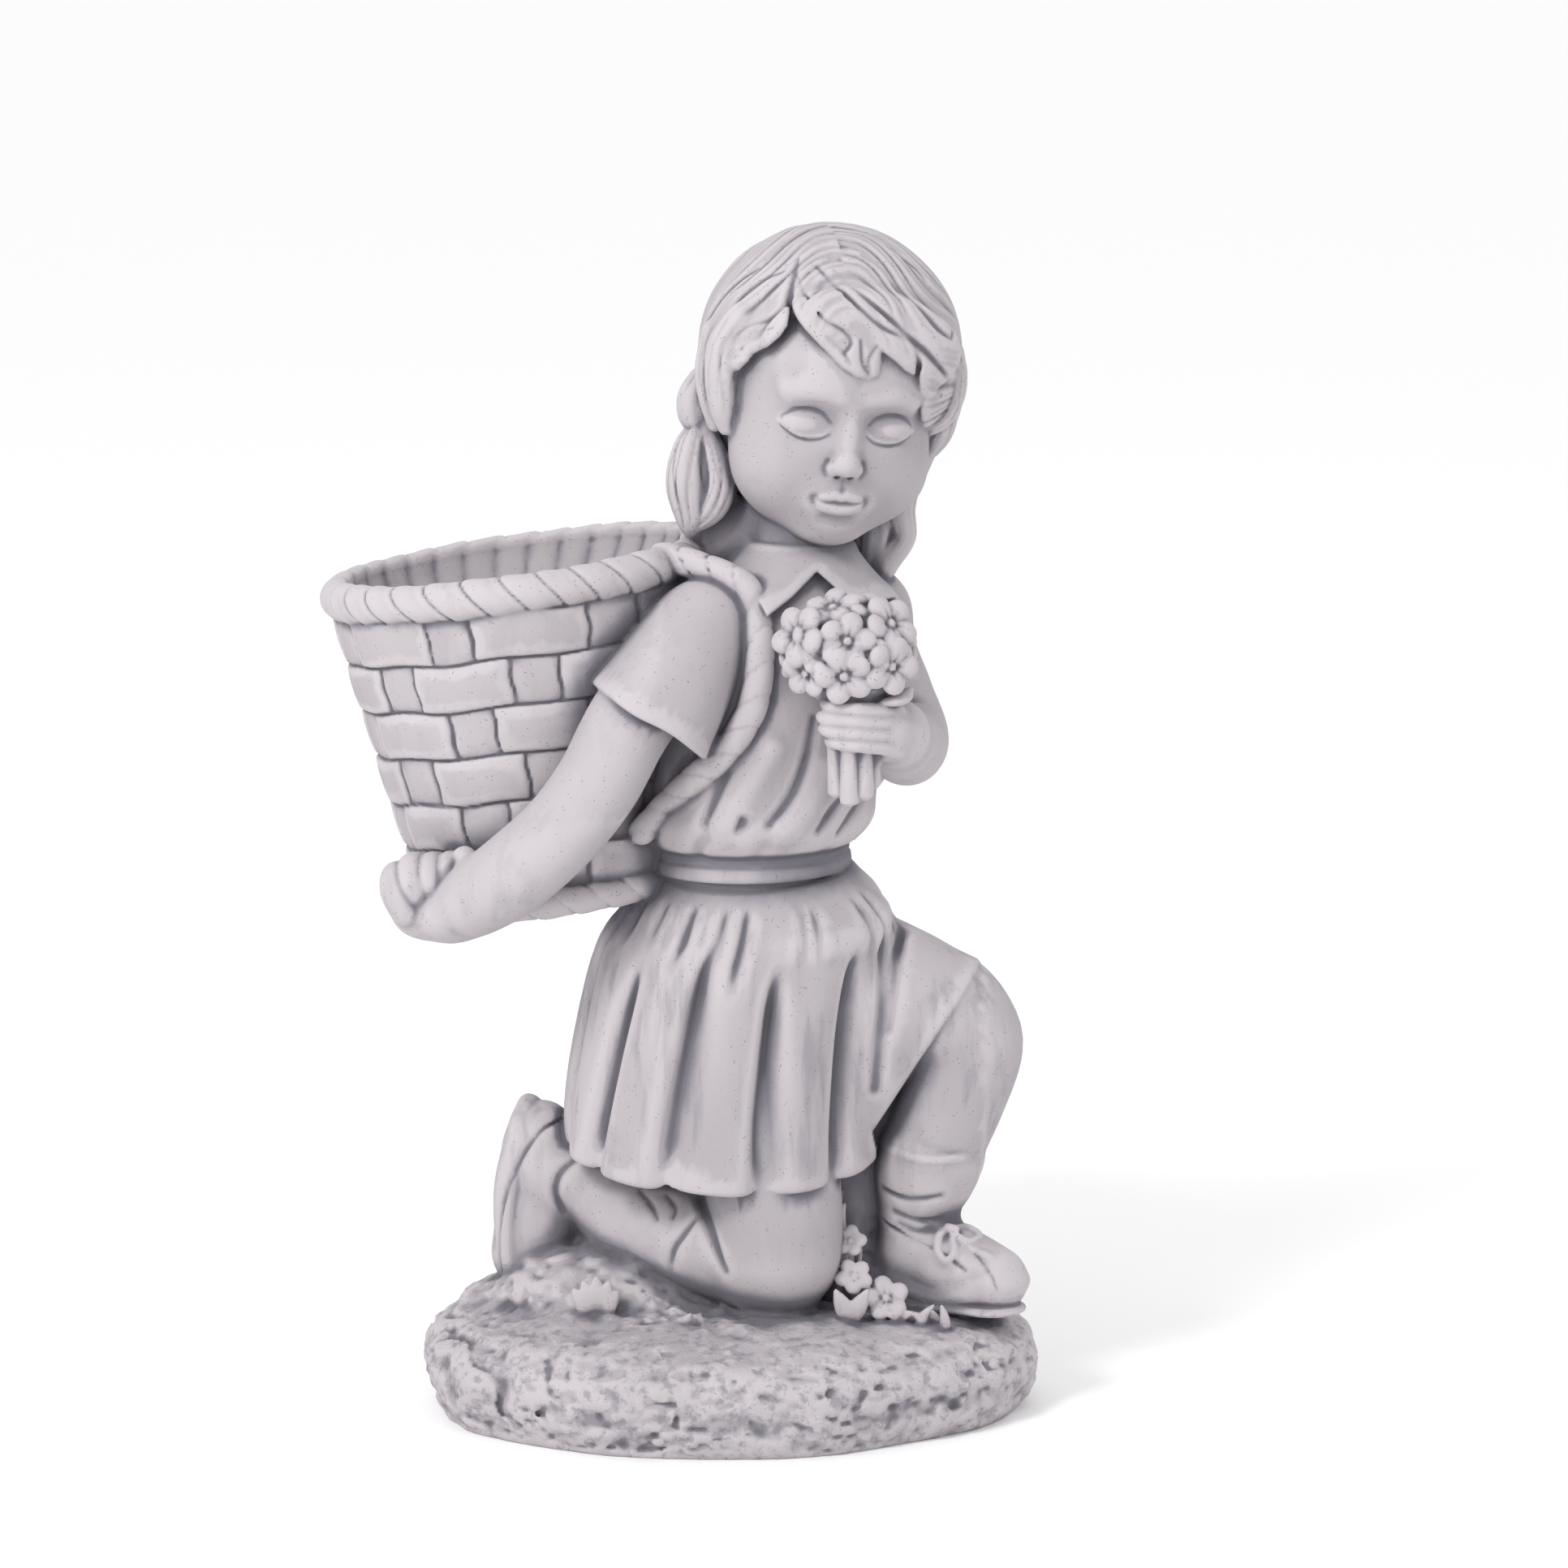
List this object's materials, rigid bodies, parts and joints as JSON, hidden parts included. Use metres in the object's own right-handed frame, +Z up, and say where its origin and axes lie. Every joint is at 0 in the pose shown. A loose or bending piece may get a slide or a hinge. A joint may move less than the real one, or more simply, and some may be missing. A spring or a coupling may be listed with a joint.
{
  "type": "statue planter",
  "caption": "Cast stone garden statue of a kneeling girl with a woven basket on her back, which is a hollow planter, and a posy in her hand.",
  "frame": {"origin": "on the flat underside, at the middle of the mound that the girl kneels on", "axes": "+Z up; -Y towards the side where the sleeve, the hand on the basket and the face show, which is the picture's side; +X towards the raised knee, and the basket is on the -X side"},
  "size_m": [0.361, 0.2516, 0.6003],
  "materials": {
    "cast_stone": null
  },
  "bodies": {
    "root": {"girl_planter": "cast_stone"}
  },
  "joints": []
}
